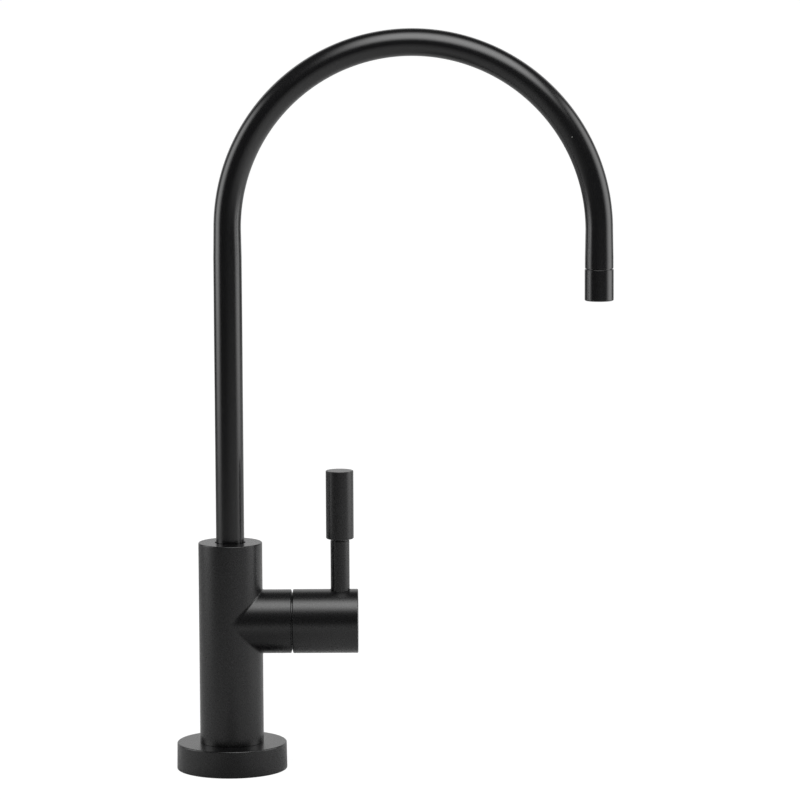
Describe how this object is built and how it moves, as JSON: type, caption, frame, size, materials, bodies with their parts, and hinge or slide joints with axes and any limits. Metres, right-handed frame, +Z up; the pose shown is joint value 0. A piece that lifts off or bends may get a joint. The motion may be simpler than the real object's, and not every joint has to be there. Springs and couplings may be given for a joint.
{
  "type": "reverse osmosis faucet",
  "caption": "Satin black drinking-water faucet: swivelling gooseneck spout, side lever with a quarter-turn ceramic valve, round base, threaded shank and push-fit inlet.",
  "frame": {"origin": "centre of the base's underside, on the worktop", "axes": "+Z up along the body, +X along the side port to the handle, -Y towards the user"},
  "size_m": [0.1861, 0.0472, 0.3976],
  "materials": {
    "satin_black": "satin",
    "plain_brass": "satin",
    "stainless": "satin",
    "seal_rubber": "matte",
    "alumina": "polished",
    "acetal": "satin"
  },
  "bodies": {
    "faucet_body": {"base_escutcheon": "satin_black", "base_gasket": "seal_rubber", "tee_body": "satin_black", "spout_glide_ring": "acetal", "spout_retaining_screw": "stainless", "cartridge_seal": "seal_rubber", "fixed_disc": "alumina", "cartridge_shell": "plain_brass", "shell_oring": "seal_rubber", "bonnet_nut": "satin_black", "shank": "plain_brass", "shank_seal": "seal_rubber", "inlet_washer": "seal_rubber", "inlet_adapter": "acetal", "inlet_oring": "seal_rubber", "inlet_spacer": "acetal", "grab_ring": "stainless", "inlet_cap": "acetal"},
    "spout": {"spout_tube": "satin_black", "spout_insert": "plain_brass", "spout_orings": "seal_rubber", "nozzle_shell": "satin_black", "nozzle_oring": "seal_rubber", "nozzle_screen": "stainless", "flow_straightener": "acetal", "nozzle_retaining_ring": "acetal"},
    "handle": {"moving_disc": "alumina", "spindle": "plain_brass", "spindle_orings": "seal_rubber", "stop_ring": "stainless", "spindle_clip": "stainless", "handle_bush": "acetal", "handle_hub": "satin_black", "handle_set_screw": "stainless", "lever_stem": "satin_black", "lever_grip": "satin_black"},
    "clamp_washers": {"worktop_pad": "seal_rubber", "clamp_plate": "stainless", "spring_washer": "stainless"},
    "lock_nut": {"lock_nut": "plain_brass"},
    "release_collet": {"inlet_collet": "acetal"}
  },
  "joints": [
    {"name": "spout_swivel", "type": "hinge", "parent": "faucet_body", "child": "spout", "pos_m": [0, 0, 0.0976], "axis": [0, 0, 1], "continuous": true},
    {"name": "handle_turn", "type": "hinge", "parent": "faucet_body", "child": "handle", "pos_m": [0, 0, 0.0634], "axis": [1, 0, 0], "range_deg": [0, 90]},
    {"name": "clamp_slide", "type": "slide", "parent": "faucet_body", "child": "clamp_washers", "axis": [0, 0, 1], "range_m": [-0.008, 0.025]},
    {"name": "lock_nut_turn", "type": "hinge", "parent": "clamp_washers", "child": "lock_nut", "pos_m": [0, 0, -0.0382], "axis": [0, 0, 1], "range_deg": [-2700, 8460]},
    {"name": "collet_release", "type": "slide", "parent": "faucet_body", "child": "release_collet", "axis": [0, 0, 1], "range_m": [0, 0.0012]}
  ],
  "couplings": [
    {"joint": "clamp_slide", "follows": "lock_nut_turn", "m_per_rad": 0.00016839}
  ]
}
